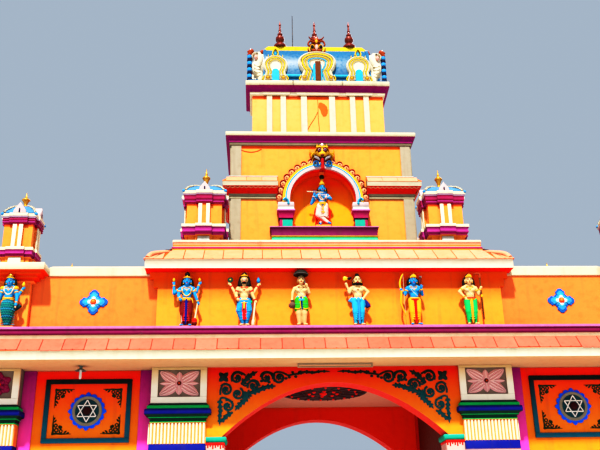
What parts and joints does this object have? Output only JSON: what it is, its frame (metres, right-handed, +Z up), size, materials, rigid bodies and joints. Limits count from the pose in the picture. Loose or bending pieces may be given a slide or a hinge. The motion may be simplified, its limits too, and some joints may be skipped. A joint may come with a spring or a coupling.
{
  "type": "painted temple gateway tower (gopuram)",
  "caption": "Painted masonry temple gateway: an arched passage under tiled cornices, niches of figures and a stepped tower with a wagon roof.",
  "frame": {"origin": "middle of the footprint at ground level", "axes": "+X to the right along the front, +Y towards the rear, +Z up; the front faces -Y"},
  "size_m": [13.42, 6.14, 13.62],
  "materials": {
    "orange_plaster": "matt weathered masonry paint",
    "cream_plaster": "matt weathered masonry paint",
    "brown_plaster": "matt weathered masonry paint",
    "magenta_plaster": "matt weathered masonry paint",
    "red_plaster": "matt weathered masonry paint",
    "yellow_plaster": "matt weathered masonry paint",
    "red_tile": "matt painted tile",
    "peach_tile": "matt painted tile",
    "blue_plaster": "matt weathered masonry paint",
    "pale_stucco": "matt weathered masonry paint",
    "copper": "satin",
    "steel": "satin",
    "white_fitting": "satin"
  },
  "bodies": {
    "root": {"front_arch_wall": "orange_plaster", "rear_arch_wall": "orange_plaster", "front_left_bay_wall": "orange_plaster", "front_right_bay_wall": "orange_plaster", "rear_and_left_end_wall": "orange_plaster", "rear_and_right_end_wall": "orange_plaster", "front_left_wing_wall": "orange_plaster", "front_right_wing_wall": "orange_plaster", "front_left_end_bay": "orange_plaster", "front_right_end_bay": "orange_plaster", "left_rear_parapet": "orange_plaster", "right_rear_parapet": "orange_plaster", "figure_storey_walls": "orange_plaster", "front_left_small_turret": "orange_plaster", "front_right_small_turret": "orange_plaster", "front_left_turret": "orange_plaster", "front_right_turret": "orange_plaster", "rear_left_turret": "orange_plaster", "rear_right_turret": "orange_plaster", "tower_front_wall": "orange_plaster", "tower_side_and_rear_walls": "orange_plaster", "front_left_inner_pier": "cream_plaster", "front_right_inner_pier": "cream_plaster", "front_left_outer_pier": "cream_plaster", "front_right_outer_pier": "cream_plaster", "main_cornice_slab": "cream_plaster", "upper_cornice_slab": "cream_plaster", "tower_platform": "cream_plaster", "tower_middle_cornice": "cream_plaster", "tower_upper_cornice": "cream_plaster", "top_cornice": "cream_plaster", "left_roof_gable": "cream_plaster", "right_roof_gable": "cream_plaster", "left_passage_wall": "brown_plaster", "right_passage_wall": "brown_plaster", "ledge_course": "magenta_plaster", "niche_ledge": "magenta_plaster", "passage_medallion": "red_plaster", "top_storey_walls": "yellow_plaster", "niche_arch": "yellow_plaster", "front_kudu": "yellow_plaster", "lower_tile_roof": "red_tile", "upper_tile_roof": "peach_tile", "barrel_roof": "blue_plaster", "mace_bearer_figure": "blue_plaster", "bow_bearer_figure": "blue_plaster", "left_end_figure": "blue_plaster", "right_end_figure": "blue_plaster", "niche_figure": "blue_plaster", "lion_faced_figure": "pale_stucco", "umbrella_bearer_figure": "pale_stucco", "axe_bearer_figure": "pale_stucco", "plough_bearer_figure": "pale_stucco", "left_finial": "copper", "right_finial": "copper", "middle_finial": "copper", "lightning_rod": "steel", "bay_lamp": "white_fitting", "tube_light": "white_fitting"}
  },
  "joints": []
}
